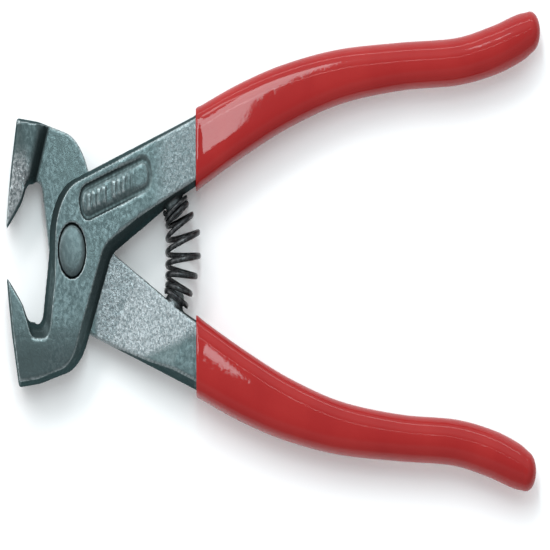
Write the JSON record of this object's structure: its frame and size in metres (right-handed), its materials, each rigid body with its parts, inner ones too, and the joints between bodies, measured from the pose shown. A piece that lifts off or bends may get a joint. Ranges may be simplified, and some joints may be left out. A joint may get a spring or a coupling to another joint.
{
  "type": "stained-glass running pliers",
  "caption": "Wide-jawed hand pliers with two forged levers in a riveted lap joint, an open jaw throat, red dipped grips and a coil return spring.",
  "frame": {"origin": "on the pivot axis, at the flat underside of the rivet", "axes": "+X runs from the jaws to the handle ends, midway between the handles at rest; +Z along the pivot axis, up from the face the tool lies on; +Y to the upper handle"},
  "size_m": [0.2029, 0.092, 0.014],
  "materials": {
    "forged_steel": "satin forged, faint teal-grey, bare and mottled at the tips",
    "rivet_steel": "satin teal-grey",
    "spring_steel": "blackened spring wire",
    "red_vinyl": "glossy dipped vinyl"
  },
  "bodies": {
    "back": {"back_lever": "forged_steel", "back_grip": "red_vinyl", "pivot_rivet": "rivet_steel", "return_spring": "spring_steel"},
    "front": {"front_lever": "forged_steel", "front_grip": "red_vinyl"}
  },
  "joints": [
    {"name": "lever_pivot", "type": "hinge", "parent": "back", "child": "front", "pos_m": [0, 0, 0.007], "axis": [0, 0, 1], "range_deg": [-17.5, 6], "stiffness_Nm_per_rad": 2, "deforming": ["return_spring"]}
  ]
}
